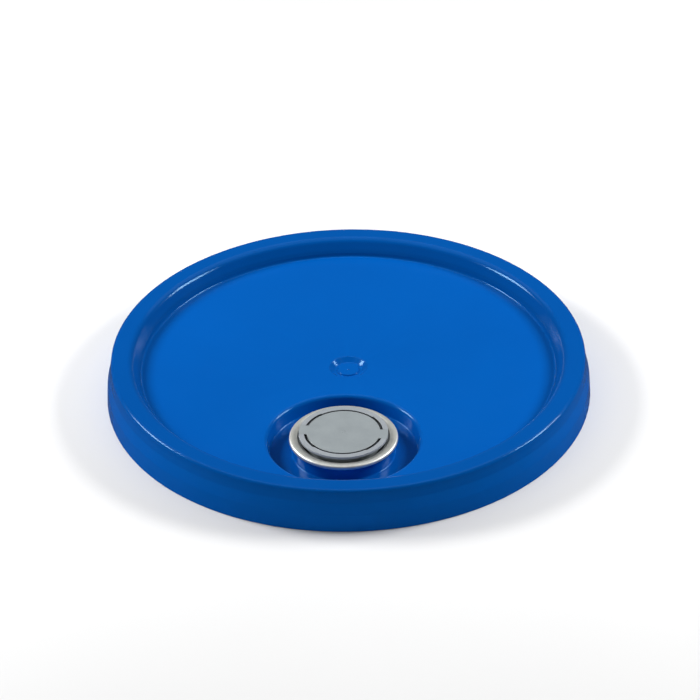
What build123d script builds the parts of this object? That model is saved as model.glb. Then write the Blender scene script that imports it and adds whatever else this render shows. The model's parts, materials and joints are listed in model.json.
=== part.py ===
"""Press-fit pail lid with a pull-up pour spout.

The lid is a moulded disc with a hollow rim that presses over a pail.  A round
well in its panel holds a boss, and a crimped steel ring holds the spout's
flange on that boss.  The spout's outer wall is folded down into the well, so
the capped neck nests inside it; two half-ring bails on the cap pull the neck up.

Millimetres, +Z up.  The origin is the centre of the skirt's lower edge, so
z = 0 is the surface that the lid stands on, and the spout lies towards -Y.
"""
from build123d import *
import os

# ---- lid ----
SKIRT_RADIUS = 155.9
LID_HEIGHT = 28.5
WALL = 2.2
RIM_OUTER_RADIUS = 152.2
RIM_INNER_RADIUS = 139.3
RIM_INNER_ROUNDING = 5.5
RIM_OUTER_ROUNDING = 2.2
PANEL_TOP = 17.65
PANEL_RADIUS = 133.3
CHANNEL_CEILING = LID_HEIGHT - 2.4
CHANNEL_OUTER_RADIUS = 150.3
CHANNEL_INNER_RADIUS = 141.6
SNAP_BEAD_RADIUS = 151.9
PLUG_FOOT = 11.0

# ---- gate mark at the middle of the panel ----
GATE_RADIUS = 12.4
GATE_FLOOR_RADIUS = 9.0
GATE_DEPTH = 2.6
GATE_DISC_RADIUS = 6.5
GATE_DISC_HEIGHT = 0.9
GATE_NUB_RADIUS = 0.9
GATE_NUB_HEIGHT = 0.35

# ---- rim gasket ----
GASKET_HEIGHT = 2.2
GASKET_SIDE_GAP = 0.3

# ---- well and boss ----
SPOUT_OFFSET = 81.0
WELL_RADIUS = 50.6
WELL_EDGE = 2.4
WELL_LAP = 0.05
WELL_FLOOR = 8.0
WELL_FLOOR_RADIUS = 47.4
BOSS_RADIUS = 31.6
BOSS_BORE_RADIUS = 29.8
BOSS_TOP = 18.6
BOSS_BEAD_RADIUS = 33.1
BOSS_BEAD_FOOT = 17.9

# ---- crimp ring and spout flange ----
RING_SHEET = 0.4
RING_RADIUS = 34.2
RING_BORE_RADIUS = 28.9
RING_CREST = 20.15
RING_CREST_RADIUS = 31.6
RING_LIP_TOP = 19.35
RING_LIP_FOOT = 18.9
RING_TUCK_DROP = 0.25
FLANGE_TOP = 19.0
FLANGE_SHELF = 18.6
FLANGE_FOOT = 17.8
FLANGE_BORE_RADIUS = 27.4

# ---- spout fold and neck ----
FOLD_FOOT = 1.5
FOLD_SKIN = 1.1
FOLD_FOOT_RADIUS = 25.4
NECK_RADIUS = 19.6
NECK_BORE_RADIUS = 18.0
NECK_FOOT = 4.0
NECK_TOP = 20.3

# ---- screw thread ----
THREAD_LEAD = 4.0
THREAD_TURNS = 1.5
THREAD_DEPTH = 1.15
THREAD_ROOT_WIDTH = 1.7
THREAD_CREST_WIDTH = 0.8
THREAD_BITE = 0.35
THREAD_START = 10.4

# ---- cap ----
CAP_TOP = 23.1
CAP_DISC_THICKNESS = 2.0
CAP_DISC_RADIUS = 23.1
CAP_WAIST_RADIUS = 22.8
CAP_SKIRT_RADIUS = 22.6
CAP_SKIRT_BORE = 21.15
CAP_SKIRT_FOOT = 7.6
LINER_THICKNESS = 0.8
LINER_RADIUS = 20.9
CAP_EDGE = 0.45

# ---- bails ----
BAIL_RADIUS = 28.1
BAIL_INNER_RADIUS = 24.1
BAIL_END_INNER_RADIUS = 24.5
BAIL_THICKNESS = 1.8
HINGE_ANGLE = -4.7
HINGE_OFFSET = 5.0
HINGE_GAP = 0.15
BRIDGE_ANGLE = 41.5
BRIDGE_WIDTH = 0.9
BRIDGE_DROP = 0.15
BRIDGE_GAP = 0.1

# ---- tear-out membrane and its pull ring ----
MEMBRANE_FOOT = 4.4
MEMBRANE_THICKNESS = 0.8
SCORE_RADIUS = 16.4
SCORE_WIDTH = 0.8
SCORE_DEPTH = 0.45
POST_OFFSET = 11.6
POST_LENGTH = 2.4
POST_WIDTH = 4.0
PIVOT_HEIGHT = 7.2
PULL_RING_RADIUS = 8.4
PULL_RING_SECTION = 0.85
PULL_RING_CENTRE = 0.9
PIVOT_PIN_RADIUS = 0.6
PIVOT_CLEARANCE = 0.05
PIVOT_ARM_WIDTH = 1.4
PIVOT_ARM_GAP = 0.3

# ---- sizes that only give cutting tools room ----
REACH = 200.0
FULL_TURN = 360


def section(corners):
    """Closed face in the XZ plane from rows of (radius, height, corner rounding)."""
    points = [(radius, height) for radius, height, rounding in corners]
    roundings = [rounding for radius, height, rounding in corners]
    return Plane.XZ * make_face(FilletPolyline(*points, radius=roundings, close=True))


def turned(corners):
    """Solid of revolution about Z of a section."""
    return revolve(section(corners), Axis.Z, FULL_TURN)


def at_spout(shape):
    """Moves a shape made about the spout's own axis to where the spout stands on the lid."""
    return Pos(0, -SPOUT_OFFSET, 0) * shape


def along_hinge(shape):
    """Turns a shape made with its hinge line along X to the cap's hinge direction."""
    return Rot(0, 0, HINGE_ANGLE) * shape


def upright_box(low, high):
    """Box between two opposite corners."""
    size = [b - a for a, b in zip(low, high)]
    middle = [(a + b) / 2 for a, b in zip(low, high)]
    return Pos(*middle) * Box(*size)


def sector(radius, start, end, low, high):
    """Upright wedge of a disc between two angles in degrees, from height low to high."""
    arc = CenterArc((0, 0), radius, start, end - start)
    sides = [Line((0, 0), arc @ 0), Line(arc @ 1, (0, 0))]
    return Pos(0, 0, low) * extrude(make_face([arc, *sides]), high - low)


def lid_skin():
    """The lid without its well: skirt, hollow rim, inner wall and panel in one skin."""
    panel_foot = PANEL_TOP - WALL
    gate_floor = PANEL_TOP - GATE_DEPTH
    disc_top = gate_floor + GATE_DISC_HEIGHT
    return turned([
        (SKIRT_RADIUS, 0.0, 0.6),
        (SKIRT_RADIUS - 0.25, 4.5, 8.0),
        (SKIRT_RADIUS - 0.7, 12.0, 8.0),
        (SKIRT_RADIUS - 2.6, 20.0, 8.0),
        (RIM_OUTER_RADIUS, LID_HEIGHT, RIM_OUTER_ROUNDING),
        (RIM_INNER_RADIUS, LID_HEIGHT, RIM_INNER_ROUNDING),
        (PANEL_RADIUS + 0.9, PANEL_TOP + 2.6, 2.5),
        (PANEL_RADIUS, PANEL_TOP, 1.6),
        (GATE_RADIUS, PANEL_TOP, 1.5),
        (GATE_FLOOR_RADIUS, gate_floor, 1.2),
        (GATE_DISC_RADIUS + 0.5, gate_floor, 0.4),
        (GATE_DISC_RADIUS, disc_top, 0.3),
        (GATE_NUB_RADIUS, disc_top, 0.1),
        (GATE_NUB_RADIUS - 0.3, disc_top + GATE_NUB_HEIGHT, 0.15),
        (0.0, disc_top + GATE_NUB_HEIGHT, 0.0),
        (0.0, panel_foot - GATE_DEPTH, 0.0),
        (GATE_FLOOR_RADIUS + 0.6, panel_foot - GATE_DEPTH, 1.6),
        (GATE_RADIUS + 1.2, panel_foot, 1.6),
        (PANEL_RADIUS + 0.6, panel_foot, 1.2),
        (PANEL_RADIUS + 0.6, PLUG_FOOT, 0.5),
        (PANEL_RADIUS + 0.6 + WALL, PLUG_FOOT, 0.8),
        (PANEL_RADIUS + 1.1 + WALL, PANEL_TOP + 2.6, 2.0),
        (CHANNEL_INNER_RADIUS, CHANNEL_CEILING, 0.4),
        (CHANNEL_OUTER_RADIUS, CHANNEL_CEILING, 0.4),
        (SKIRT_RADIUS - 4.6, 20.0, 6.0),
        (SKIRT_RADIUS - 2.7, 12.0, 4.0),
        (SKIRT_RADIUS - 2.5, 8.6, 1.0),
        (SNAP_BEAD_RADIUS, 6.6, 0.7),
        (SNAP_BEAD_RADIUS, 5.2, 0.7),
        (SKIRT_RADIUS - 2.0, 3.2, 0.8),
        (SKIRT_RADIUS - 2.0, 0.0, 0.5),
    ])


def well_opening():
    """What the well takes out of the panel, about the spout's axis."""
    return turned([
        (0.0, PANEL_TOP - 2 * WALL, 0.0),
        (WELL_RADIUS - WELL_LAP, PANEL_TOP - 2 * WALL, 0.0),
        (WELL_RADIUS - WELL_LAP, PANEL_TOP + WALL, 0.0),
        (0.0, PANEL_TOP + WALL, 0.0),
    ])


def well_skin():
    """The well's rounded edge, sloping wall, floor and the boss that carries the spout."""
    wall_run = WELL_RADIUS - WELL_FLOOR_RADIUS
    return turned([
        (WELL_RADIUS, PANEL_TOP, 0.0),
        (WELL_RADIUS - WELL_EDGE, PANEL_TOP, WELL_EDGE + 0.2),
        (WELL_FLOOR_RADIUS - 0.4, WELL_FLOOR, 1.2),
        (BOSS_RADIUS + 0.5, WELL_FLOOR, 1.2),
        (BOSS_RADIUS, BOSS_BEAD_FOOT, 0.3),
        (BOSS_BEAD_RADIUS, BOSS_BEAD_FOOT, 0.3),
        (BOSS_BEAD_RADIUS, BOSS_TOP, 0.4),
        (BOSS_BORE_RADIUS, BOSS_TOP, 0.3),
        (BOSS_BORE_RADIUS, WELL_FLOOR - WALL, 0.6),
        (WELL_FLOOR_RADIUS + 1.4, WELL_FLOOR - WALL, 2.6),
        (WELL_FLOOR_RADIUS + wall_run, PANEL_TOP - WALL, 0.0),
    ])


def make_lid_shell():
    """The whole moulded lid."""
    return lid_skin() - at_spout(well_opening()) + at_spout(well_skin())


def make_rim_gasket():
    """Flat rubber ring in the top of the rim's channel; the pail's lip presses into it."""
    inner = CHANNEL_INNER_RADIUS + GASKET_SIDE_GAP
    outer = CHANNEL_OUTER_RADIUS - GASKET_SIDE_GAP
    foot = CHANNEL_CEILING - GASKET_HEIGHT
    return turned([
        (inner, foot, 0.6),
        (outer, foot, 0.6),
        (outer, CHANNEL_CEILING, 0.3),
        (inner, CHANNEL_CEILING, 0.3),
    ])


def make_crimp_ring():
    """Pressed sheet steel ring folded over the flange and tucked under the boss's bead."""
    half = RING_SHEET / 2
    line = FilletPolyline(
        (RING_BORE_RADIUS + half, RING_LIP_FOOT),
        (RING_BORE_RADIUS + half, RING_LIP_TOP),
        (RING_CREST_RADIUS, RING_CREST - half),
        (RING_RADIUS - half, RING_CREST - 0.4),
        (RING_RADIUS - half, BOSS_BEAD_FOOT - RING_TUCK_DROP),
        (BOSS_RADIUS + 0.6, BOSS_BEAD_FOOT - RING_TUCK_DROP),
        radius=[0.3, 4.0, 1.2, 0.55],
    )
    return at_spout(revolve(Plane.XZ * trace(line, RING_SHEET), Axis.Z, FULL_TURN))


def make_spout_flange():
    """Ring that the crimp clamps, with a shelf that carries the folding wall."""
    return at_spout(turned([
        (FLANGE_BORE_RADIUS, FLANGE_FOOT, 0.0),
        (BOSS_BORE_RADIUS - 0.3, FLANGE_FOOT, 0.2),
        (BOSS_BORE_RADIUS - 0.3, BOSS_TOP, 0.0),
        (BOSS_BEAD_RADIUS, BOSS_TOP, 0.0),
        (BOSS_BEAD_RADIUS, FLANGE_TOP, 0.3),
        (RING_BORE_RADIUS + 0.55, FLANGE_TOP, 0.15),
        (RING_BORE_RADIUS + 0.55, FLANGE_SHELF, 0.0),
        (FLANGE_BORE_RADIUS, FLANGE_SHELF, 0.3),
    ]))


def make_spout_fold():
    """Flexible wall: down from the flange, round the bottom and up to the neck."""
    return at_spout(turned([
        (FLANGE_BORE_RADIUS, FLANGE_FOOT, 0.0),
        (FOLD_FOOT_RADIUS - FOLD_SKIN - 0.1, FOLD_FOOT + FOLD_SKIN, 1.4),
        (NECK_RADIUS, FOLD_FOOT + FOLD_SKIN, 0.8),
        (NECK_RADIUS, NECK_FOOT, 0.0),
        (NECK_BORE_RADIUS, NECK_FOOT, 0.0),
        (NECK_BORE_RADIUS, FOLD_FOOT, 1.6),
        (FOLD_FOOT_RADIUS, FOLD_FOOT, 2.2),
        (FLANGE_BORE_RADIUS + FOLD_SKIN, FLANGE_FOOT, 0.0),
    ]))


def thread_ridge(root_radius, outward, start_height):
    """Helical ridge standing on a round wall, outwards on a neck or inwards in a cap.

    It begins on the +X side at start_height and is sunk a little into its wall.
    """
    side = 1 if outward else -1
    base = -THREAD_BITE * side
    crest = THREAD_DEPTH * side
    path = Helix(THREAD_LEAD, THREAD_LEAD * THREAD_TURNS, root_radius)
    profile = Polyline(
        (root_radius + base, -THREAD_ROOT_WIDTH / 2),
        (root_radius + base, THREAD_ROOT_WIDTH / 2),
        (root_radius + crest, THREAD_CREST_WIDTH / 2),
        (root_radius + crest, -THREAD_CREST_WIDTH / 2),
        close=True,
    )
    ridge = sweep(Plane.XZ * make_face(profile), path, is_frenet=True)
    return Pos(0, 0, start_height) * ridge


def make_spout_neck():
    """Pour neck with a rounded lip, a foot ledge for the membrane and an outside thread."""
    tube = turned([
        (NECK_BORE_RADIUS, NECK_FOOT, 0.0),
        (NECK_RADIUS, NECK_FOOT, 0.0),
        (NECK_RADIUS, NECK_TOP, 0.5),
        (NECK_BORE_RADIUS, NECK_TOP, 0.5),
    ])
    return at_spout(tube + thread_ridge(NECK_RADIUS, True, THREAD_START))


def pivot_pin_line(radius, length):
    """Cylinder along X at the pull ring's pivot."""
    return Pos(0, POST_OFFSET, PIVOT_HEIGHT) * Rot(0, 90, 0) * Cylinder(radius, length)


def make_tear_membrane():
    """Scored disc that closes the neck until it is pulled out, with the pull ring's post."""
    top = MEMBRANE_FOOT + MEMBRANE_THICKNESS
    disc = turned([
        (0.0, MEMBRANE_FOOT, 0.0),
        (NECK_BORE_RADIUS, MEMBRANE_FOOT, 0.0),
        (NECK_BORE_RADIUS, top, 0.0),
        (SCORE_RADIUS + SCORE_WIDTH / 2, top, 0.0),
        (SCORE_RADIUS, top - SCORE_DEPTH, 0.0),
        (SCORE_RADIUS - SCORE_WIDTH / 2, top, 0.0),
        (0.0, top, 0.0),
    ])
    half = POST_WIDTH / 2
    post = upright_box(
        (-half, POST_OFFSET - POST_LENGTH / 2, top - 0.2),
        (half, POST_OFFSET + POST_LENGTH / 2, PIVOT_HEIGHT),
    )
    post += pivot_pin_line(POST_LENGTH / 2, POST_WIDTH)
    arm_room = PIVOT_ARM_WIDTH / 2 + PIVOT_ARM_GAP
    swing_room = 2.4
    post -= upright_box(
        (-arm_room, POST_OFFSET - swing_room, top + 0.25),
        (arm_room, POST_OFFSET + swing_room, PIVOT_HEIGHT + swing_room),
    )
    pin = pivot_pin_line(PIVOT_PIN_RADIUS, POST_WIDTH - 0.4)
    return at_spout(disc + post + pin)


def make_membrane_pull_ring():
    """Finger ring that lies on the membrane and swings up about the post's pin."""
    loop = Pos(0, PULL_RING_CENTRE, PIVOT_HEIGHT) * Torus(PULL_RING_RADIUS, PULL_RING_SECTION)
    half = PIVOT_ARM_WIDTH / 2
    arm = upright_box(
        (-half, PULL_RING_CENTRE + PULL_RING_RADIUS - 0.3, PIVOT_HEIGHT - PULL_RING_SECTION),
        (half, POST_OFFSET, PIVOT_HEIGHT + PULL_RING_SECTION),
    )
    eye = pivot_pin_line(PULL_RING_SECTION + 0.45, PIVOT_ARM_WIDTH)
    hole = pivot_pin_line(PIVOT_PIN_RADIUS + PIVOT_CLEARANCE, PIVOT_ARM_WIDTH + 1.0)
    return at_spout(loop + arm + eye - hole)


def make_cap_liner():
    """Foam disc under the cap that seals on the neck's lip."""
    return at_spout(turned([
        (0.0, NECK_TOP, 0.0),
        (LINER_RADIUS, NECK_TOP, 0.15),
        (LINER_RADIUS, NECK_TOP + LINER_THICKNESS, 0.0),
        (0.0, NECK_TOP + LINER_THICKNESS, 0.0),
    ]))


def cap_body():
    """The cap's disc and its skirt."""
    disc_foot = CAP_TOP - CAP_DISC_THICKNESS
    return turned([
        (0.0, CAP_TOP, 0.0),
        (CAP_DISC_RADIUS, CAP_TOP, CAP_EDGE),
        (CAP_DISC_RADIUS, CAP_TOP - BAIL_THICKNESS, 0.2),
        (CAP_SKIRT_RADIUS, CAP_TOP - BAIL_THICKNESS - 0.5, 0.2),
        (CAP_SKIRT_RADIUS, CAP_SKIRT_FOOT, 0.4),
        (CAP_SKIRT_BORE, CAP_SKIRT_FOOT, 0.4),
        (CAP_SKIRT_BORE, disc_foot, 0.0),
        (0.0, disc_foot, 0.0),
    ])


def half_ring_stock(inner_radius):
    """Flat ring that the hinge lugs and the bails are cut from."""
    foot = CAP_TOP - BAIL_THICKNESS
    return turned([
        (inner_radius, foot, 0.25),
        (BAIL_RADIUS, foot, 0.35),
        (BAIL_RADIUS, CAP_TOP, CAP_EDGE),
        (inner_radius, CAP_TOP, 0.3),
    ])


def hinge_lugs():
    """Two lugs that carry the bails, on opposite sides of the disc."""
    half = HINGE_OFFSET - HINGE_GAP
    strip = upright_box((-REACH, -half, 0), (REACH, half, REACH))
    return half_ring_stock(CAP_WAIST_RADIUS - 1.0) & strip


def break_bridges():
    """Small nibs that first held the bails to the disc."""
    nibs = []
    for quarter in range(4):
        base = BRIDGE_ANGLE if quarter % 2 == 0 else 180 - BRIDGE_ANGLE
        angle = base + 180 * (quarter // 2)
        nib = upright_box(
            (CAP_DISC_RADIUS - 0.5, -BRIDGE_WIDTH / 2, CAP_TOP - BAIL_THICKNESS + 0.1),
            (BAIL_INNER_RADIUS - BRIDGE_GAP, BRIDGE_WIDTH / 2, CAP_TOP - BRIDGE_DROP),
        )
        nibs.append(Rot(0, 0, angle) * nib)
    return nibs


def make_screw_cap():
    """Cap with its disc, threaded skirt, hinge lugs and bridges."""
    thread = thread_ridge(CAP_SKIRT_BORE, False, THREAD_START - THREAD_LEAD / 2)
    top = cap_body() + hinge_lugs()
    for nib in break_bridges():
        top += nib
    return at_spout(along_hinge(top) + thread)


def make_bail():
    """Half-ring handle on the +Y side of the hinge line, with a wider slot at its two ends."""
    ring = half_ring_stock(BAIL_INNER_RADIUS)
    near_edge = HINGE_OFFSET + HINGE_GAP
    bail = ring & upright_box((-REACH, near_edge, 0), (REACH, REACH, REACH))
    low, high = 0.0, REACH
    for start, end in ((0, BRIDGE_ANGLE), (180 - BRIDGE_ANGLE, 180)):
        bail -= sector(BAIL_END_INNER_RADIUS, start, end, low, high)
    return bail


def make_bail_rear():
    """Bail on the side towards the middle of the lid."""
    return at_spout(along_hinge(make_bail()))


def make_bail_front():
    """Bail on the side towards the rim."""
    return at_spout(along_hinge(Rot(0, 0, 180) * make_bail()))


PARTS = {
    "lid_shell": make_lid_shell,
    "rim_gasket": make_rim_gasket,
    "crimp_ring": make_crimp_ring,
    "spout_flange": make_spout_flange,
    "spout_fold": make_spout_fold,
    "spout_neck": make_spout_neck,
    "tear_membrane": make_tear_membrane,
    "membrane_pull_ring": make_membrane_pull_ring,
    "cap_liner": make_cap_liner,
    "screw_cap": make_screw_cap,
    "bail_rear": make_bail_rear,
    "bail_front": make_bail_front,
}

os.makedirs("parts", exist_ok=True)
for node, make in PARTS.items():
    export_step(make(), f"parts/{node}.step")
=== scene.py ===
"""Looks of the pail lid and its nested pour spout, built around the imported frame."""
import json
import math

import bmesh
import bpy
from mathutils import Matrix, Vector


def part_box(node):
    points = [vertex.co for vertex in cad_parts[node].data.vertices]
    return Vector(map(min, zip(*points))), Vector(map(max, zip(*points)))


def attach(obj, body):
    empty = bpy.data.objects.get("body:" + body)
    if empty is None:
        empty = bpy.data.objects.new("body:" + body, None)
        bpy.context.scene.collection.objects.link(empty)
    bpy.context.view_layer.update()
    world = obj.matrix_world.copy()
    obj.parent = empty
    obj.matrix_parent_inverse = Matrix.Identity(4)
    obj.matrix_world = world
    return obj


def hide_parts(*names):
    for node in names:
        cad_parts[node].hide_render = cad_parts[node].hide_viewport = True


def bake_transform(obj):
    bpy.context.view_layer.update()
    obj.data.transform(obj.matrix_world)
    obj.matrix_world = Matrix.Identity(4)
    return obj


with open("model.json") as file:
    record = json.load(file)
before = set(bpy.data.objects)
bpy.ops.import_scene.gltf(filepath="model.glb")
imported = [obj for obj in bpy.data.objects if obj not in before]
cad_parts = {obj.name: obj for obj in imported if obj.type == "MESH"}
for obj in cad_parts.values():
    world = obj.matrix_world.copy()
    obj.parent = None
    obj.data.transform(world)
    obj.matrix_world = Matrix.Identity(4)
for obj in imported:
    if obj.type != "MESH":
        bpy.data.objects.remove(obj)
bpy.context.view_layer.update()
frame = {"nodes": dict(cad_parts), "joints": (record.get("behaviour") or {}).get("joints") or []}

MM = 0.001
ARC_STEP = math.radians(9)      # turn between points along a rounded corner
SHARP_ANGLE = math.radians(38)  # edges sharper than this stay crisp


def box_mm(node):
    """A node's lowest and highest corners, in millimetres."""
    low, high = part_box(node)
    return [v / MM for v in low], [v / MM for v in high]


# ---- places and driving sizes, in millimetres, all from the frame ----
LID_LOW, LID_HIGH = box_mm("lid_shell")
LID_R = (LID_HIGH[0] - LID_LOW[0]) / 2
LID_H = LID_HIGH[2]
RING_LOW, RING_HIGH = box_mm("crimp_ring")
RING_R = (RING_HIGH[0] - RING_LOW[0]) / 2
SPOUT = ((RING_LOW[0] + RING_HIGH[0]) / 2, (RING_LOW[1] + RING_HIGH[1]) / 2)
CAP_LOW, CAP_HIGH = box_mm("screw_cap")
BAIL_R = (CAP_HIGH[0] - CAP_LOW[0]) / 2
CAP_TOP = CAP_HIGH[2]
CAP_FOOT = CAP_LOW[2]
NECK_LOW, NECK_HIGH = box_mm("spout_neck")
FOLD_LOW, FOLD_HIGH = box_mm("spout_fold")
FLANGE_LOW, FLANGE_HIGH = box_mm("spout_flange")
LINER_LOW, LINER_HIGH = box_mm("cap_liner")

# lid: wall, panel and its gate mark, the rim channel's ceiling
WALL = 2.2
PANEL = LID_H - 10.85
PANEL_R = LID_R - 22.6
CEILING = LID_H - 2.4
PLUG_FOOT = 11.0
GATE_R = 12.4
GATE_FLOOR_R = 9.0
GATE_DISC_R = 6.5
GATE_DISC_H = 0.9
GATE_NUB_H = 0.35
GATE_DEPTH = 2.6

# well and the boss that the spout stands in
WELL_FLOOR = PANEL - 9.65
BOSS_R = RING_R - 2.6
BOSS_BORE = RING_R - 4.4
BEAD_R = RING_R - 1.1
BEAD_FOOT = WELL_FLOOR + 9.9
BOSS_TOP = WELL_FLOOR + 10.6

# spout: wall of the fold, neck, cap's skirt and the thread between them
FOLD_SKIN = 1.1
NECK_R = 19.6
NECK_BORE = 18.0
NECK_ROOT = 4.0
CAP_SKIRT_R = 22.6
CAP_SKIRT_BORE = 21.15
THREAD_TURNS = 1.5
THREAD_LEAD = 4.0
NECK_THREAD_FOOT = 10.4
CAP_THREAD_FOOT = 8.4

hinge = next(j for j in frame["joints"] if j["name"] == "bail_rear_lift")
HINGE_TURN = math.atan2(hinge["axis"][1], hinge["axis"][0])
HINGE_LINE = math.dist(hinge["pos_m"][:2], [v * MM for v in SPOUT]) / MM

# cap's top plate with its lugs, bridges and the slots inside the bails
PLATE_THICK = 1.8
DISC_R = BAIL_R - 5.0
LUG_HALF = HINGE_LINE - 0.3
BRIDGE_ANGLE = 41.5         # degrees from the hinge line
BRIDGE_HALF = 0.45
SLOT_WIDE = 3.3             # bail's width near its ends
SLOT_NARROW = 3.9           # bail's width along its middle
SLOT_STEP_ANGLE = 41.0      # degrees from a bail's end
SLOT_STEP_LENGTH = 2.0      # degrees


# ---- outlines ----
def rounded(rows, closed=True):
    """Points of an outline through rows of (x, y, corner rounding), each corner as an arc."""
    points = []
    count = len(rows)
    for i, (x, y, radius) in enumerate(rows):
        here = Vector((x, y))
        if radius <= 0 or (not closed and i in (0, count - 1)):
            points.append(here)
            continue
        before = (Vector(rows[i - 1][:2]) - here).normalized()
        after = (Vector(rows[(i + 1) % count][:2]) - here).normalized()
        half = before.angle(after) / 2
        bisector = (before + after).normalized()
        centre = here + bisector * (radius / math.sin(half))
        start = here + before * (radius / math.tan(half)) - centre
        turn = math.pi - 2 * half
        side = 1 if before.cross(after) < 0 else -1
        steps = max(2, math.ceil(turn / ARC_STEP))
        for k in range(steps + 1):
            a = side * turn * k / steps
            c, s = math.cos(a), math.sin(a)
            points.append(centre + Vector((start.x * c - start.y * s, start.x * s + start.y * c)))
    return points


# ---- mesh building ----
def new_piece(name, bm, sharp=SHARP_ANGLE):
    """A mesh object from a bmesh, with smooth shading, crisp edges and area-weighted normals."""
    bmesh.ops.recalc_face_normals(bm, faces=bm.faces)
    mesh = bpy.data.meshes.new(name)
    bm.to_mesh(mesh)
    bm.free()
    for polygon in mesh.polygons:
        polygon.use_smooth = True
    mesh.set_sharp_from_angle(angle=sharp)
    piece = bpy.data.objects.new(name, mesh)
    bpy.context.scene.collection.objects.link(piece)
    normals = piece.modifiers.new("weighted", "WEIGHTED_NORMAL")
    normals.keep_sharp = True
    return piece


def ring_of(bm, radius, height, centre, steps):
    """A circle of vertices, or one vertex on the axis."""
    if radius < 1e-6:
        return [bm.verts.new((centre[0] * MM, centre[1] * MM, height * MM))]
    ring = []
    for i in range(steps):
        a = 2 * math.pi * i / steps
        x = centre[0] + radius * math.cos(a)
        y = centre[1] + radius * math.sin(a)
        ring.append(bm.verts.new((x * MM, y * MM, height * MM)))
    return ring


def join_rings(bm, one, other):
    """Faces between two rings, either of which may be a single vertex."""
    if len(one) == 1 and len(other) == 1:
        return
    steps = max(len(one), len(other))
    for i in range(steps):
        k = (i + 1) % steps
        corners = []
        for ring, places in ((one, (i, k)), (other, (k, i))):
            corners += [ring[0]] if len(ring) == 1 else [ring[p] for p in places]
        bm.faces.new(corners)


def turn_chain(bm, outline, centre, steps, closed=False):
    """Sweeps an outline of (radius, height) round an upright axis; returns its end rings."""
    rings = [ring_of(bm, p[0], p[1], centre, steps) for p in outline]
    for one, other in zip(rings, rings[1:]):
        join_rings(bm, one, other)
    if closed:
        join_rings(bm, rings[-1], rings[0])
    return rings[0], rings[-1]


def turned_piece(name, rows, centre=SPOUT, steps=192, sharp=SHARP_ANGLE):
    """A solid of revolution as its own piece."""
    bm = bmesh.new()
    turn_chain(bm, rounded(rows), centre, steps, closed=True)
    return new_piece(name, bm, sharp)


def ring_edges(bm, ring):
    """The edges round a ring of vertices, made where they are missing."""
    edges = []
    for a, b in zip(ring, ring[1:] + ring[:1]):
        edges.append(bm.edges.get((a, b)) or bm.edges.new((a, b)))
    return edges


def fill_between(bm, rings):
    """Flat faces inside the outermost ring and outside the others."""
    edges = [edge for ring in rings for edge in ring_edges(bm, ring)]
    bmesh.ops.triangle_fill(bm, use_beauty=True, use_dissolve=False, edges=edges)


def add_ridge(bm, wall, outward, start):
    """Helical thread ridge on one of the spout's round walls, with ends that fade into it."""
    side = 1 if outward else -1
    depth, root, crest, bite = 1.15, 1.7, 0.8, 0.35
    profile = ((-bite, root / 2), (0, root / 2), (depth - 0.15, crest / 2 + 0.06),
               (depth, crest / 2 - 0.1), (depth, 0.1 - crest / 2),
               (depth - 0.15, -crest / 2 - 0.06), (0, -root / 2), (-bite, -root / 2))
    steps = int(THREAD_TURNS * 96)
    fade = 12
    sink = 0.2      # depth of the faded ends below the wall
    loops = []
    for i in range(steps + 1):
        grown = min(1.0, (min(i, steps - i) + 0.5) / fade)
        a = 2 * math.pi * THREAD_TURNS * i / steps
        z = start + THREAD_LEAD * THREAD_TURNS * i / steps
        loop = []
        for reach, half in profile:
            lift = reach if reach <= 0 else reach * grown - (1 - grown) * sink
            r = wall + side * lift
            x = SPOUT[0] + r * math.cos(a)
            y = SPOUT[1] + r * math.sin(a)
            loop.append(bm.verts.new((x * MM, y * MM, (z + half) * MM)))
        loops.append(loop)
    for one, other in zip(loops, loops[1:]):
        join_rings(bm, one, other)
    bm.faces.new(loops[0])
    bm.faces.new(loops[-1])


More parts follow.
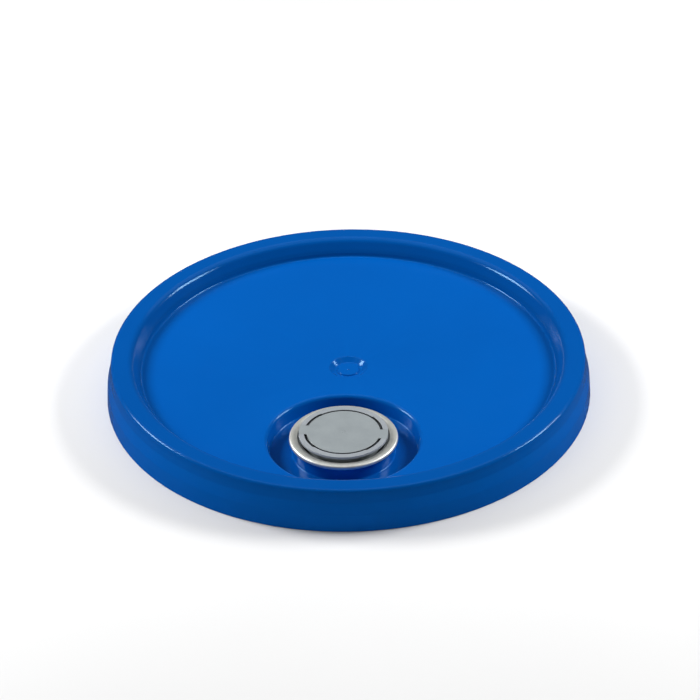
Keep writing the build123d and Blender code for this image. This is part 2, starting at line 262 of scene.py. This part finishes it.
# ---- the lid ----
def make_lid():
    """The moulded lid: rim and skirt, panel with its gate mark, well and boss, in one closed skin."""
    foot = PANEL - WALL
    rim = rounded([
        (PANEL_R - 2.5, PANEL, 0),
        (PANEL_R, PANEL, 1.6),
        (PANEL_R + 0.9, PANEL + 2.6, 2.5),
        (LID_R - 16.6, LID_H, 5.5),
        (LID_R - 3.7, LID_H, 2.2),
        (LID_R - 2.6, 20.0, 8.0),
        (LID_R - 0.7, 12.0, 8.0),
        (LID_R - 0.25, 4.5, 8.0),
        (LID_R, 0.0, 0.6),
        (LID_R - 2.0, 0.0, 0.5),
        (LID_R - 2.0, 3.2, 0.8),
        (LID_R - 4.0, 5.2, 0.7),
        (LID_R - 4.0, 6.6, 0.7),
        (LID_R - 2.5, 8.6, 1.0),
        (LID_R - 2.7, 12.0, 4.0),
        (LID_R - 4.6, 20.0, 6.0),
        (LID_R - 5.6, CEILING, 0.4),
        (LID_R - 14.3, CEILING, 0.4),
        (PANEL_R + 1.1 + WALL, PANEL + 2.6, 2.0),
        (PANEL_R + 0.6 + WALL, PLUG_FOOT, 0.8),
        (PANEL_R + 0.6, PLUG_FOOT, 0.5),
        (PANEL_R + 0.6, foot, 1.2),
        (PANEL_R - 1.2, foot, 0),
    ], closed=False)[1:-1]
    gate_floor = PANEL - GATE_DEPTH
    disc_top = gate_floor + GATE_DISC_H
    gate_top = rounded([
        (GATE_R + 2.0, PANEL, 0),
        (GATE_R, PANEL, 1.5),
        (GATE_FLOOR_R, gate_floor, 1.2),
        (GATE_DISC_R + 0.5, gate_floor, 0.4),
        (GATE_DISC_R, disc_top, 0.3),
        (0.9, disc_top, 0.1),
        (0.6, disc_top + GATE_NUB_H, 0.15),
        (0.0, disc_top + GATE_NUB_H, 0),
    ], closed=False)[1:]
    gate_foot = rounded([
        (GATE_R + 3.0, foot, 0),
        (GATE_R + 1.2, foot, 1.6),
        (GATE_FLOOR_R + 0.6, foot - GATE_DEPTH, 1.6),
        (0.0, foot - GATE_DEPTH, 0),
    ], closed=False)[1:]
    well = rounded([
        (RING_R + 16.4, PANEL, 0),
        (RING_R + 14.0, PANEL, 2.6),
        (RING_R + 12.8, WELL_FLOOR, 1.2),
        (BOSS_R + 0.5, WELL_FLOOR, 1.2),
        (BOSS_R, BEAD_FOOT, 0.3),
        (BEAD_R, BEAD_FOOT, 0.3),
        (BEAD_R, BOSS_TOP, 0.4),
        (BOSS_BORE, BOSS_TOP, 0.3),
        (BOSS_BORE, WELL_FLOOR - WALL, 0.6),
        (RING_R + 14.6, WELL_FLOOR - WALL, 2.6),
        (RING_R + 16.4, foot, 0),
    ], closed=False)[1:]
    bm = bmesh.new()
    rim_in, rim_out = turn_chain(bm, rim, (0, 0), 360)
    top_gate, _ = turn_chain(bm, gate_top, (0, 0), 72)
    foot_gate, _ = turn_chain(bm, gate_foot, (0, 0), 72)
    well_top, well_foot = turn_chain(bm, well, SPOUT, 240)
    fill_between(bm, [rim_in, top_gate, well_top])
    fill_between(bm, [rim_out, foot_gate, well_foot])
    return new_piece("lid_skin", bm)


def make_gasket():
    """The rim's rubber ring, with two raised sealing lips on its lower face."""
    inner, outer = LID_R - 14.0, LID_R - 5.9
    top = CEILING
    foot = top - 2.2
    face = foot + 0.3
    rows = [(inner, top, 0.3), (inner, face, 0.3)]
    for lip in (0.3, 0.7):
        middle = inner + (outer - inner) * lip
        rows += [(middle - 1.1, face, 0.2), (middle - 0.4, foot, 0.2),
                 (middle + 0.4, foot, 0.2), (middle + 1.1, face, 0.2)]
    rows += [(outer, face, 0.3), (outer, top, 0.3)]
    return turned_piece("gasket", rows, centre=(0, 0), steps=288)


# ---- crimp ring and spout ----
def make_crimp_ring():
    """Pressed steel ring: inner lip, domed top, rolled shoulder and tucked foot."""
    inner, sheet = RING_R - 5.3, 0.4
    top, foot = RING_HIGH[2], RING_LOW[2]
    return turned_piece("steel_ring", [
        (inner, top - 1.2, 0.05),
        (inner, top - 0.52, 0.35),
        (RING_R - 2.6, top + 0.06, 4.2),
        (RING_R, top - 0.16, 1.4),
        (RING_R, foot, 0.75),
        (BOSS_R + 0.6, foot, 0.05),
        (BOSS_R + 0.6, foot + sheet, 0.05),
        (RING_R - sheet, foot + sheet, 0.35),
        (RING_R - sheet, top - 0.56, 1.0),
        (RING_R - 2.6, top - 0.34, 3.8),
        (inner + sheet, top - 0.9, 0.15),
        (inner + sheet, top - 1.2, 0.05),
    ], steps=240)


def make_flange():
    """The clamped ring of the spout with its inner shelf."""
    shelf = FLANGE_LOW[2] + 0.8
    bore = FOLD_HIGH[0] - SPOUT[0] - FOLD_SKIN
    shelf_edge = RING_R - 4.75
    foot = FLANGE_LOW[2]
    return turned_piece("flange", [
        (bore, foot, 0),
        (BOSS_BORE - 0.3, foot, 0.2),
        (BOSS_BORE - 0.3, BOSS_TOP, 0),
        (BEAD_R, BOSS_TOP, 0),
        (BEAD_R, FLANGE_HIGH[2], 0.3),
        (shelf_edge, FLANGE_HIGH[2], 0.15),
        (shelf_edge, shelf, 0.15),
        (bore, shelf, 0.3),
    ])


def make_fold():
    """The flexible wall, with loops all the way down so that it can turn inside out."""
    top, foot = FOLD_HIGH[2], FOLD_LOW[2]
    outer_top = FOLD_HIGH[0] - SPOUT[0]
    outer_foot = outer_top - 3.1
    inner_top = outer_top - FOLD_SKIN
    inner_foot = outer_foot - FOLD_SKIN - 0.1
    web = foot + FOLD_SKIN
    loops = 14
    rows = []
    for i in range(loops):
        t = i / loops
        rows.append((inner_top * (1 - t) + inner_foot * t, top * (1 - t) + web * t, 0))
    rows += [
        (inner_foot, web, 1.4),
        (NECK_R, web, 0.8),
        (NECK_R, NECK_ROOT, 0),
        (NECK_BORE, NECK_ROOT, 0),
        (NECK_BORE, foot, 1.6),
        (outer_foot, foot, 2.2),
    ]
    for i in reversed(range(loops)):
        t = i / loops
        rows.append((outer_top * (1 - t) + outer_foot * t, top * (1 - t) + foot * t, 0))
    return turned_piece("folding_wall", rows, sharp=math.radians(80))


def make_neck():
    """Pour neck with a rounded lip and its outside thread."""
    foot, top = NECK_LOW[2], NECK_HIGH[2]
    bm = bmesh.new()
    tube = rounded([(NECK_BORE, foot, 0), (NECK_R, foot, 0), (NECK_R, top, 0.6), (NECK_BORE, top, 0.6)])
    turn_chain(bm, tube, SPOUT, 192, closed=True)
    add_ridge(bm, NECK_R, True, NECK_THREAD_FOOT)
    return new_piece("neck", bm)


# ---- cap and bails ----
def to_part(x, y):
    """From the cap's own frame, hinge line along x, to the part's frame."""
    c, s = math.cos(HINGE_TURN), math.sin(HINGE_TURN)
    return SPOUT[0] + x * c - y * s, SPOUT[1] + x * s + y * c


def inset(points, distance):
    """A closed outline moved inwards, for a counter-clockwise outline."""
    moved = []
    count = len(points)
    for i, here in enumerate(points):
        along_in = (here - points[i - 1]).normalized()
        along_out = (points[(i + 1) % count] - here).normalized()
        along = (along_in + along_out).normalized()
        inward = Vector((-along.y, along.x))
        moved.append(here + inward * (distance / max(0.5, along.dot(along_in))))
    return moved


def cap_outline(disc, outer, half):
    """The cap's top plate: a disc with two lugs that reach out to the bails' outer edge."""
    tip = math.asin(half / outer)
    root = math.asin(half / disc)
    arcs = ((outer, -tip, tip, 8, 0.35), (disc, root, math.pi - root, 72, 0.3))
    rows = []
    for turn in (0, math.pi):
        c, s = math.cos(turn), math.sin(turn)
        arc = []
        for radius, start, end, steps, corner in arcs:
            for k in range(steps + 1):
                a = start + (end - start) * k / steps
                arc.append((radius * math.cos(a), radius * math.sin(a), corner if k in (0, steps) else 0))
        rows += [(x * c - y * s, x * s + y * c, r) for x, y, r in arc]
    return rounded(rows)


def cap_plate(bm, outline, low, high, edge, nub):
    """Plate with a rounded upper edge, a chamfered lower one and a small round nub on top."""
    chamfer = 0.25
    levels = [(chamfer, low), (0.0, low + chamfer)]
    steps = 5
    for k in range(steps + 1):
        a = math.pi / 2 * k / steps
        levels.append((edge * (1 - math.cos(a)), high - edge + edge * math.sin(a)))
    loops = []
    for distance, height in levels:
        loop = []
        for p in inset(outline, distance):
            x, y = to_part(p.x, p.y)
            loop.append(bm.verts.new((x * MM, y * MM, height * MM)))
        loops.append(loop)
    for one, other in zip(loops, loops[1:]):
        join_rings(bm, one, other)
    fill_between(bm, [loops[0]])
    groove = high - 0.12
    chain = rounded([(nub + 1.2, high, 0), (nub + 0.5, high, 0.2), (nub + 0.35, groove, 0.1),
                     (nub + 0.1, groove, 0.05), (nub, high, 0.1), (0, high, 0)], closed=False)[1:]
    start, _ = turn_chain(bm, chain, SPOUT, 36)
    fill_between(bm, [loops[-1], start])


def block(bm, low, high, turn, edge=0.12):
    """Small bevelled box in the cap's frame, turned about the cap's axis."""
    made = bmesh.ops.create_cube(bm, size=1.0)["verts"]
    c, s = math.cos(turn), math.sin(turn)
    for v in made:
        x = low[0] if v.co.x < 0 else high[0]
        y = low[1] if v.co.y < 0 else high[1]
        z = low[2] if v.co.z < 0 else high[2]
        px, py = to_part(x * c - y * s, x * s + y * c)
        v.co = Vector((px, py, z)) * MM
    edges = {e for v in made for e in v.link_edges}
    bmesh.ops.bevel(bm, geom=list(edges), offset=edge * MM, segments=2, affect="EDGES")


def make_cap():
    """The screw cap: plate with lugs, threaded skirt, break-away bridges and hinge films."""
    plate_foot = CAP_TOP - PLATE_THICK
    skirt_top = plate_foot + 0.3
    ceiling = CAP_TOP - 2.0
    bm = bmesh.new()
    cap_plate(bm, cap_outline(DISC_R, BAIL_R, LUG_HALF), plate_foot, CAP_TOP, edge=0.3, nub=1.1)
    skirt = rounded([
        (0, ceiling, 0), (0, skirt_top, 0), (CAP_SKIRT_R, skirt_top, 0.2),
        (CAP_SKIRT_R, CAP_FOOT, 0.5), (CAP_SKIRT_BORE, CAP_FOOT, 0.5), (CAP_SKIRT_BORE, ceiling, 0.3),
    ])
    turn_chain(bm, skirt, SPOUT, 192, closed=True)
    add_ridge(bm, CAP_SKIRT_BORE, False, CAP_THREAD_FOOT)
    for angle in (BRIDGE_ANGLE, 180 - BRIDGE_ANGLE, 180 + BRIDGE_ANGLE, 360 - BRIDGE_ANGLE):
        block(bm, (DISC_R - 0.6, -BRIDGE_HALF, plate_foot + 0.1),
              (DISC_R + 0.92, BRIDGE_HALF, CAP_TOP - 0.5), math.radians(angle))
    for turn in (0, math.pi):
        for side in (-1, 1):
            span = sorted((side * (LUG_HALF - 0.3), side * HINGE_LINE))
            block(bm, (DISC_R + 1.4, span[0], CAP_TOP - 0.6), (BAIL_R - 0.4, span[1], CAP_TOP), turn, 0.02)
    return new_piece("cap", bm)


def bail_inner(angle):
    """The bail's inner radius: a narrow slot along the middle and a wide one near both ends."""
    wide, narrow = BAIL_R - SLOT_WIDE, BAIL_R - SLOT_NARROW
    from_end = min(angle, math.pi - angle)
    t = (math.degrees(from_end) - SLOT_STEP_ANGLE) / SLOT_STEP_LENGTH
    t = min(1.0, max(0.0, t))
    return wide + (narrow - wide) * t * t * (3 - 2 * t)


def make_bail(name, side):
    """Half-ring handle; side is +1 for the rear bail and -1 for the front one."""
    low, high = CAP_TOP - PLATE_THICK, CAP_TOP
    middle = BAIL_R - 4.0
    across = rounded([(middle, low, 0.3), (BAIL_R, low, 0.4), (BAIL_R, high, 0.3), (middle, high, 0.2)])
    bm = bmesh.new()
    steps = 150
    loops = []
    for i in range(-1, steps + 2):
        t = min(1.0, max(0.0, i / steps))
        end_face = i in (-1, steps + 1)
        edge = HINGE_LINE + (0.0 if end_face else 0.02)
        loop = []
        for p in across:
            inner = bail_inner(math.pi * t)
            radius = inner + (p.x - middle) * (BAIL_R - inner) / (BAIL_R - middle)
            height = p.y
            if end_face:
                centre = Vector(((inner + BAIL_R) / 2, (low + high) / 2))
                drawn = centre + (Vector((radius, height)) - centre) * 0.985
                radius, height = drawn.x, drawn.y
            start = math.asin(edge / radius)
            a = start + (math.pi - 2 * start) * t
            x, y = to_part(radius * math.cos(a), side * radius * math.sin(a))
            loop.append(bm.verts.new((x * MM, y * MM, height * MM)))
        loops.append(loop)
    for one, other in zip(loops, loops[1:]):
        join_rings(bm, one, other)
    bm.faces.new(loops[0])
    bm.faces.new(loops[-1])
    return new_piece(name, bm)


def make_liner():
    """Foam disc under the cap, with a shallow ring pressed in by the neck's lip."""
    low, high = LINER_LOW[2], LINER_HIGH[2]
    rim = LINER_HIGH[0] - SPOUT[0]
    pressed = low + 0.12
    return turned_piece("liner", [
        (0, high, 0), (rim, high, 0.15), (rim, low, 0.15), (19.7, low, 0.1), (19.5, pressed, 0.1),
        (18.1, pressed, 0.1), (17.9, low, 0.1), (0, low, 0),
    ], steps=128)


# ---- materials ----
class Nodes:
    """Small helper that wires a material's nodes."""

    def __init__(self, name):
        self.material = bpy.data.materials.new(name)
        self.material.use_nodes = True
        self.tree = self.material.node_tree
        self.shader = self.tree.nodes["Principled BSDF"]

    def add(self, kind, inputs=None, **settings):
        """A node with its settings and input values; a value that is a socket is linked."""
        node = self.tree.nodes.new(kind)
        for key, value in settings.items():
            setattr(node, key, value)
        for key, value in (inputs or {}).items():
            self.put(node.inputs[key], value)
        return node

    def put(self, socket, value):
        """Sets an input, or links it when the value is another node's output."""
        if isinstance(value, bpy.types.NodeSocket):
            self.tree.links.new(value, socket)
        else:
            socket.default_value = value

    def noise(self, scale, detail=3.0, vector=None):
        """Noise factor, in object space unless another vector is given."""
        if vector is None:
            vector = self.add("ShaderNodeTexCoord").outputs["Object"]
        node = self.add("ShaderNodeTexNoise", {"Vector": vector, "Scale": scale, "Detail": detail,
                                               "Roughness": 0.55})
        return node.outputs["Fac"]

    def ramp(self, factor, low, high, stops=(0.3, 0.7)):
        """Maps a factor to a range between two values."""
        node = self.add("ShaderNodeMapRange", {"Value": factor, "From Min": stops[0], "From Max": stops[1],
                                               "To Min": low, "To Max": high})
        return node.outputs["Result"]

    def mix(self, factor, one, other):
        """Mixes two colours."""
        node = self.add("ShaderNodeMix", data_type="RGBA", blend_type="MIX")
        self.put(node.inputs["Factor"], factor)
        self.put(node.inputs["A"], one)
        self.put(node.inputs["B"], other)
        return node.outputs["Result"]

    def maths(self, operation, one, other=0.0):
        """One arithmetic step."""
        node = self.add("ShaderNodeMath", operation=operation)
        self.put(node.inputs[0], one)
        self.put(node.inputs[1], other)
        return node.outputs["Value"]

    def bump(self, height, strength, distance, normal=None):
        """Bump from a height."""
        inputs = {"Height": height, "Strength": strength, "Distance": distance}
        if normal is not None:
            inputs["Normal"] = normal
        return self.add("ShaderNodeBump", inputs).outputs["Normal"]

    def around(self, centre):
        """Distance from an upright axis and angle round it, in metres and radians."""
        place = self.add("ShaderNodeTexCoord").outputs["Object"]
        moved = self.add("ShaderNodeVectorMath", {0: place, 1: (-centre[0] * MM, -centre[1] * MM, 0)},
                         operation="ADD").outputs["Vector"]
        split = self.add("ShaderNodeSeparateXYZ", {"Vector": moved})
        x, y, z = (split.outputs[k] for k in "XYZ")
        squares = self.maths("ADD", self.maths("MULTIPLY", x, x), self.maths("MULTIPLY", y, y))
        radius = self.maths("SQRT", squares)
        angle = self.maths("ARCTAN2", y, x)
        return radius, angle, z


def colour(r, g, b):
    """A linear colour with full alpha."""
    return (r, g, b, 1.0)


def lid_plastic():
    """Glossy blue polyethylene: faint flow marks round the gate, orange peel, hairline scuffs.

    The rim and its inner wall are darkened with painted shade, most at the wall's foot.
    """
    n = Nodes("lid_plastic")
    cloud = n.noise(9.0, 3.0)
    tone = n.mix(n.ramp(cloud, 0.0, 1.0), colour(0.0, 0.079, 0.350), colour(0.0, 0.086, 0.377))
    radius, angle, height = n.around((0, 0))
    polar = n.add("ShaderNodeCombineXYZ", {"X": n.maths("MULTIPLY", angle, 7.0),
                                           "Y": n.maths("MULTIPLY", radius, 6.0)})
    flow = n.noise(1.6, 4.0, polar.outputs["Vector"])
    near_gate = n.ramp(radius, 1.0, 0.0, (0.012, 0.11))
    streak = n.maths("MULTIPLY", n.ramp(flow, 0.0, 1.0, (0.45, 0.75)), near_gate)
    tone = n.mix(n.maths("MULTIPLY", streak, 0.10), tone, colour(0.0, 0.12, 0.47))
    # painted shade: the rim and its inner wall are darkened, most at the foot of the wall where shade
    # gathers
    painted_shade_on_rim = n.maths("MULTIPLY", n.ramp(radius, 0.0, 1.0, ((PANEL_R - 0.5) * MM, (PANEL_R + 1.5) * MM)),
                     n.ramp(radius, 1.0, 0.0, ((LID_R - 3.4) * MM, (LID_R - 2.4) * MM)))
    painted_shade_depth = n.ramp(height, 0.50, 0.18, ((PANEL + 0.4) * MM, (PANEL + 5.0) * MM))
    tone = n.mix(n.maths("MULTIPLY", painted_shade_on_rim, painted_shade_depth), tone, colour(0.0, 0.003, 0.010))
    n.put(n.shader.inputs["Base Color"], tone)
    stretched = n.add("ShaderNodeMapping", {"Vector": n.add("ShaderNodeTexCoord").outputs["Object"],
                                            "Rotation": (0, 0, 0.7), "Scale": (40, 1500, 40)})
    scuff = n.ramp(n.noise(1.0, 2.0, stretched.outputs["Vector"]), 0.0, 1.0, (0.66, 0.74))
    patchy = n.ramp(n.noise(14.0, 2.0), 0.0, 1.0, (0.5, 0.7))
    rough = n.maths("ADD", n.ramp(n.noise(60.0, 4.0), 0.11, 0.17),
                    n.maths("MULTIPLY", n.maths("MULTIPLY", scuff, patchy), 0.09))
    n.put(n.shader.inputs["Roughness"], rough)
    n.shader.inputs["Specular IOR Level"].default_value = 0.24
    n.shader.inputs["Specular Tint"].default_value = colour(0.28, 0.68, 1.0)
    n.shader.inputs["IOR"].default_value = 1.5
    peel = n.bump(n.noise(420.0, 2.0), 0.06, 0.0006)
    n.put(n.shader.inputs["Normal"], n.bump(n.noise(30.0, 2.0), 0.05, 0.004, peel))
    return n.material


def ring_steel():
    """Bright rolled tinplate: fine rolling lines round the ring and a warm, slightly stained tone."""
    n = Nodes("ring_steel")
    radius, angle, height = n.around(SPOUT)
    across = n.add("ShaderNodeCombineXYZ", {"X": n.maths("MULTIPLY", angle, 2.0),
                                            "Y": n.maths("MULTIPLY", radius, 5200.0),
                                            "Z": n.maths("MULTIPLY", height, 5200.0)})
    lines = n.noise(1.0, 3.0, across.outputs["Vector"])
    stain = n.noise(180.0, 4.0)
    tone = n.mix(n.ramp(stain, 0.0, 1.0, (0.35, 0.7)), colour(0.74, 0.75, 0.71), colour(0.60, 0.61, 0.58))
    n.put(n.shader.inputs["Base Color"], tone)
    n.shader.inputs["Metallic"].default_value = 0.8
    n.put(n.shader.inputs["Roughness"], n.maths("ADD", n.ramp(lines, 0.36, 0.48), n.ramp(stain, 0.0, 0.08)))
    dents = n.bump(n.noise(260.0, 2.0), 0.12, 0.0004)
    n.put(n.shader.inputs["Normal"], n.bump(lines, 0.10, 0.0001, dents))
    return n.material


def cap_plastic(name, light, dark, gate=True):
    """Satin grey polyethylene: fine moulded grain, cloudy tone and painted shade that blackens the slots
    inside the bails.
    """
    n = Nodes(name)
    cloud = n.noise(110.0, 3.0)
    tone = n.mix(n.ramp(cloud, 0.0, 1.0), colour(*dark), colour(*light))
    radius, _, height = n.around(SPOUT)
    # painted shade: surfaces below the cap's top, between the disc and the bails, are made near-black
    sunk = n.ramp(height, 1.0, 0.0, ((CAP_TOP - 0.4) * MM, (CAP_TOP - 0.1) * MM))
    in_slot = n.maths("MULTIPLY", n.ramp(radius, 0.0, 1.0, ((DISC_R - 0.3) * MM, (DISC_R - 0.1) * MM)),
                      n.ramp(radius, 1.0, 0.0, ((BAIL_R - 3.0) * MM, (BAIL_R - 2.8) * MM)))
    shade = n.maths("MULTIPLY", n.maths("MULTIPLY", sunk, in_slot), 0.95)
    tone = n.mix(shade, tone, colour(0.008, 0.009, 0.010))
    if gate:
        halo = n.ramp(radius, 1.0, 0.0, (0.002, 0.009))
        tone = n.mix(n.maths("MULTIPLY", halo, 0.10), tone, colour(*[v * 0.8 for v in dark]))
    n.put(n.shader.inputs["Base Color"], tone)
    n.put(n.shader.inputs["Roughness"], n.ramp(n.noise(500.0, 3.0), 0.36, 0.50))
    n.shader.inputs["Specular IOR Level"].default_value = 0.5
    grain = n.bump(n.noise(2600.0, 2.0), 0.14, 0.0001)
    n.put(n.shader.inputs["Normal"], n.bump(n.noise(220.0, 2.0), 0.06, 0.0006, grain))
    return n.material


def spout_plastic():
    """Softer grey polyethylene of the spout, with faint draw lines down its walls."""
    n = Nodes("spout_plastic")
    _, angle, height = n.around(SPOUT)
    lines = n.add("ShaderNodeCombineXYZ", {"X": n.maths("MULTIPLY", angle, 60.0),
                                           "Y": n.maths("MULTIPLY", height, 30.0)})
    draw = n.noise(1.0, 2.0, lines.outputs["Vector"])
    tone = n.mix(n.ramp(draw, 0.0, 1.0), colour(0.23, 0.25, 0.265), colour(0.27, 0.29, 0.305))
    n.put(n.shader.inputs["Base Color"], tone)
    n.put(n.shader.inputs["Roughness"], n.ramp(n.noise(300.0, 3.0), 0.42, 0.55))
    n.shader.inputs["Subsurface Weight"].default_value = 0.05
    n.shader.inputs["Subsurface Radius"].default_value = (0.002, 0.002, 0.002)
    n.put(n.shader.inputs["Normal"], n.bump(draw, 0.08, 0.0004))
    return n.material


def gasket_rubber():
    """Dull black rubber with a dusty bloom."""
    n = Nodes("gasket_rubber")
    bloom = n.noise(70.0, 5.0)
    tone = n.mix(n.ramp(bloom, 0.0, 1.0, (0.45, 0.75)), colour(0.012, 0.012, 0.013),
                 colour(0.035, 0.035, 0.036))
    n.put(n.shader.inputs["Base Color"], tone)
    n.put(n.shader.inputs["Roughness"], n.ramp(bloom, 0.6, 0.82))
    n.put(n.shader.inputs["Normal"], n.bump(n.noise(1800.0, 3.0), 0.25, 0.0001))
    return n.material


def liner_foam():
    """White closed-cell foam with a visible cell pattern."""
    n = Nodes("liner_foam")
    place = n.add("ShaderNodeTexCoord").outputs["Object"]
    cells = n.add("ShaderNodeTexVoronoi", {"Vector": place, "Scale": 1300.0}).outputs["Distance"]
    tone = n.mix(n.ramp(cells, 0.0, 1.0, (0.1, 0.6)), colour(0.86, 0.86, 0.84), colour(0.70, 0.70, 0.68))
    n.put(n.shader.inputs["Base Color"], tone)
    n.put(n.shader.inputs["Roughness"], n.ramp(cells, 0.75, 0.9, (0.1, 0.6)))
    n.put(n.shader.inputs["Normal"], n.bump(cells, 0.35, 0.0003))
    return n.material


def dress(piece, material):
    """Gives a piece one material."""
    piece.data.materials.clear()
    piece.data.materials.append(material)


def place(piece, node, body, slot, material):
    """Puts a piece in the place of a CAD node: its body and material; the slot is not used."""
    dress(piece, material)
    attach(piece, body)
    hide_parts(node)


# ---- the object ----
BLUE = lid_plastic()
STEEL = ring_steel()
GREY = cap_plastic("cap_plastic", (0.255, 0.285, 0.298), (0.229, 0.257, 0.270))
BAIL_GREY = cap_plastic("bail_plastic", (0.285, 0.310, 0.335), (0.258, 0.282, 0.305), gate=False)
SPOUT_GREY = spout_plastic()
RUBBER = gasket_rubber()
FOAM = liner_foam()

place(make_lid(), "lid_shell", "lid", "lid_plastic", BLUE)
place(make_gasket(), "rim_gasket", "lid", "gasket_rubber", RUBBER)
place(make_crimp_ring(), "crimp_ring", "lid", "ring_steel", STEEL)
place(make_flange(), "spout_flange", "lid", "spout_plastic", SPOUT_GREY)
place(make_neck(), "spout_neck", "neck", "spout_plastic", SPOUT_GREY)
place(make_liner(), "cap_liner", "cap_seal", "liner_foam", FOAM)
place(make_cap(), "screw_cap", "cap", "cap_plastic", GREY)
place(make_bail("rear_handle", 1), "bail_rear", "rear_bail", "cap_plastic", BAIL_GREY)
place(make_bail("front_handle", -1), "bail_front", "front_bail", "cap_plastic", BAIL_GREY)

fold = make_fold()
dress(fold, SPOUT_GREY)
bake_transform(fold)
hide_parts("spout_fold")

for node in ("tear_membrane", "membrane_pull_ring"):
    dress(frame["nodes"][node], SPOUT_GREY)


# ---- stage, light and camera ----
def make_floor():
    """Plain pale floor, large enough to fill every view and left out of reflections."""
    bm = bmesh.new()
    bmesh.ops.create_grid(bm, x_segments=2, y_segments=2, size=6.0)
    mesh = bpy.data.meshes.new("floor")
    bm.to_mesh(mesh)
    bm.free()
    floor = bpy.data.objects.new("floor", mesh)
    bpy.context.scene.collection.objects.link(floor)
    n = Nodes("floor")
    tone = n.mix(n.ramp(n.noise(3.0, 2.0), 0.0, 1.0), colour(0.76, 0.76, 0.76), colour(0.78, 0.78, 0.78))
    n.put(n.shader.inputs["Base Color"], tone)
    n.shader.inputs["Roughness"].default_value = 0.9
    n.shader.inputs["Specular IOR Level"].default_value = 0.1
    dress(floor, n.material)
    floor.visible_glossy = False


def soft_box(name, direction, distance, width, height, power, shows=True):
    """Rectangular light in a direction from the lid, facing it; a fill need not show in reflections."""
    light = bpy.data.lights.new(name, "AREA")
    light.shape = "RECTANGLE"
    light.size, light.size_y = width, height
    light.energy = power
    lamp = bpy.data.objects.new(name, light)
    bpy.context.scene.collection.objects.link(lamp)
    lamp.location = Vector(direction).normalized() * distance
    lamp.rotation_euler = Vector(direction).to_track_quat("Z", "Y").to_euler()
    lamp.visible_glossy = shows


def make_world(strength):
    """Even pale surroundings."""
    world = bpy.data.worlds.new("studio")
    world.use_nodes = True
    world.node_tree.nodes["Background"].inputs["Color"].default_value = colour(1.0, 1.0, 1.0)
    world.node_tree.nodes["Background"].inputs["Strength"].default_value = strength
    bpy.context.scene.world = world


CAMERA_AT = (0.1009, -2.0931, 1.4185)   # metres, part frame
AIM_AT = (0.0004, 0.0198, 0.01765)
CAMERA_ROLL = math.radians(-1.19)
LENS = 201.3


def make_camera():
    """Long-lens camera in front of the spout, looking down at the lid."""
    data = bpy.data.cameras.new("camera")
    data.lens = LENS
    data.sensor_width = 36.0
    data.clip_end = 50.0
    camera = bpy.data.objects.new("camera", data)
    bpy.context.scene.collection.objects.link(camera)
    look = (Vector(AIM_AT) - Vector(CAMERA_AT)).to_track_quat("-Z", "Y").to_matrix().to_4x4()
    camera.matrix_world = Matrix.Translation(CAMERA_AT) @ look @ Matrix.Rotation(CAMERA_ROLL, 4, "Z")
    bpy.context.scene.camera = camera


make_floor()
# light: direction, distance in metres, width, height, watts
soft_box("left_box", (-0.76, 0.18, 0.58), 1.15, 0.46, 0.32, 12.5)
soft_box("right_box", (0.76, 0.18, 0.58), 1.15, 0.46, 0.32, 12.5)
soft_box("top_box", (0.0, 0.32, 1.0), 1.8, 2.4, 2.0, 10.6)
soft_box("front_box", (-0.55, -0.8, 0.42), 2.2, 2.4, 1.4, 13.0, shows=False)
make_world(0.06)
make_camera()
bpy.context.scene.view_settings.view_transform = "Standard"
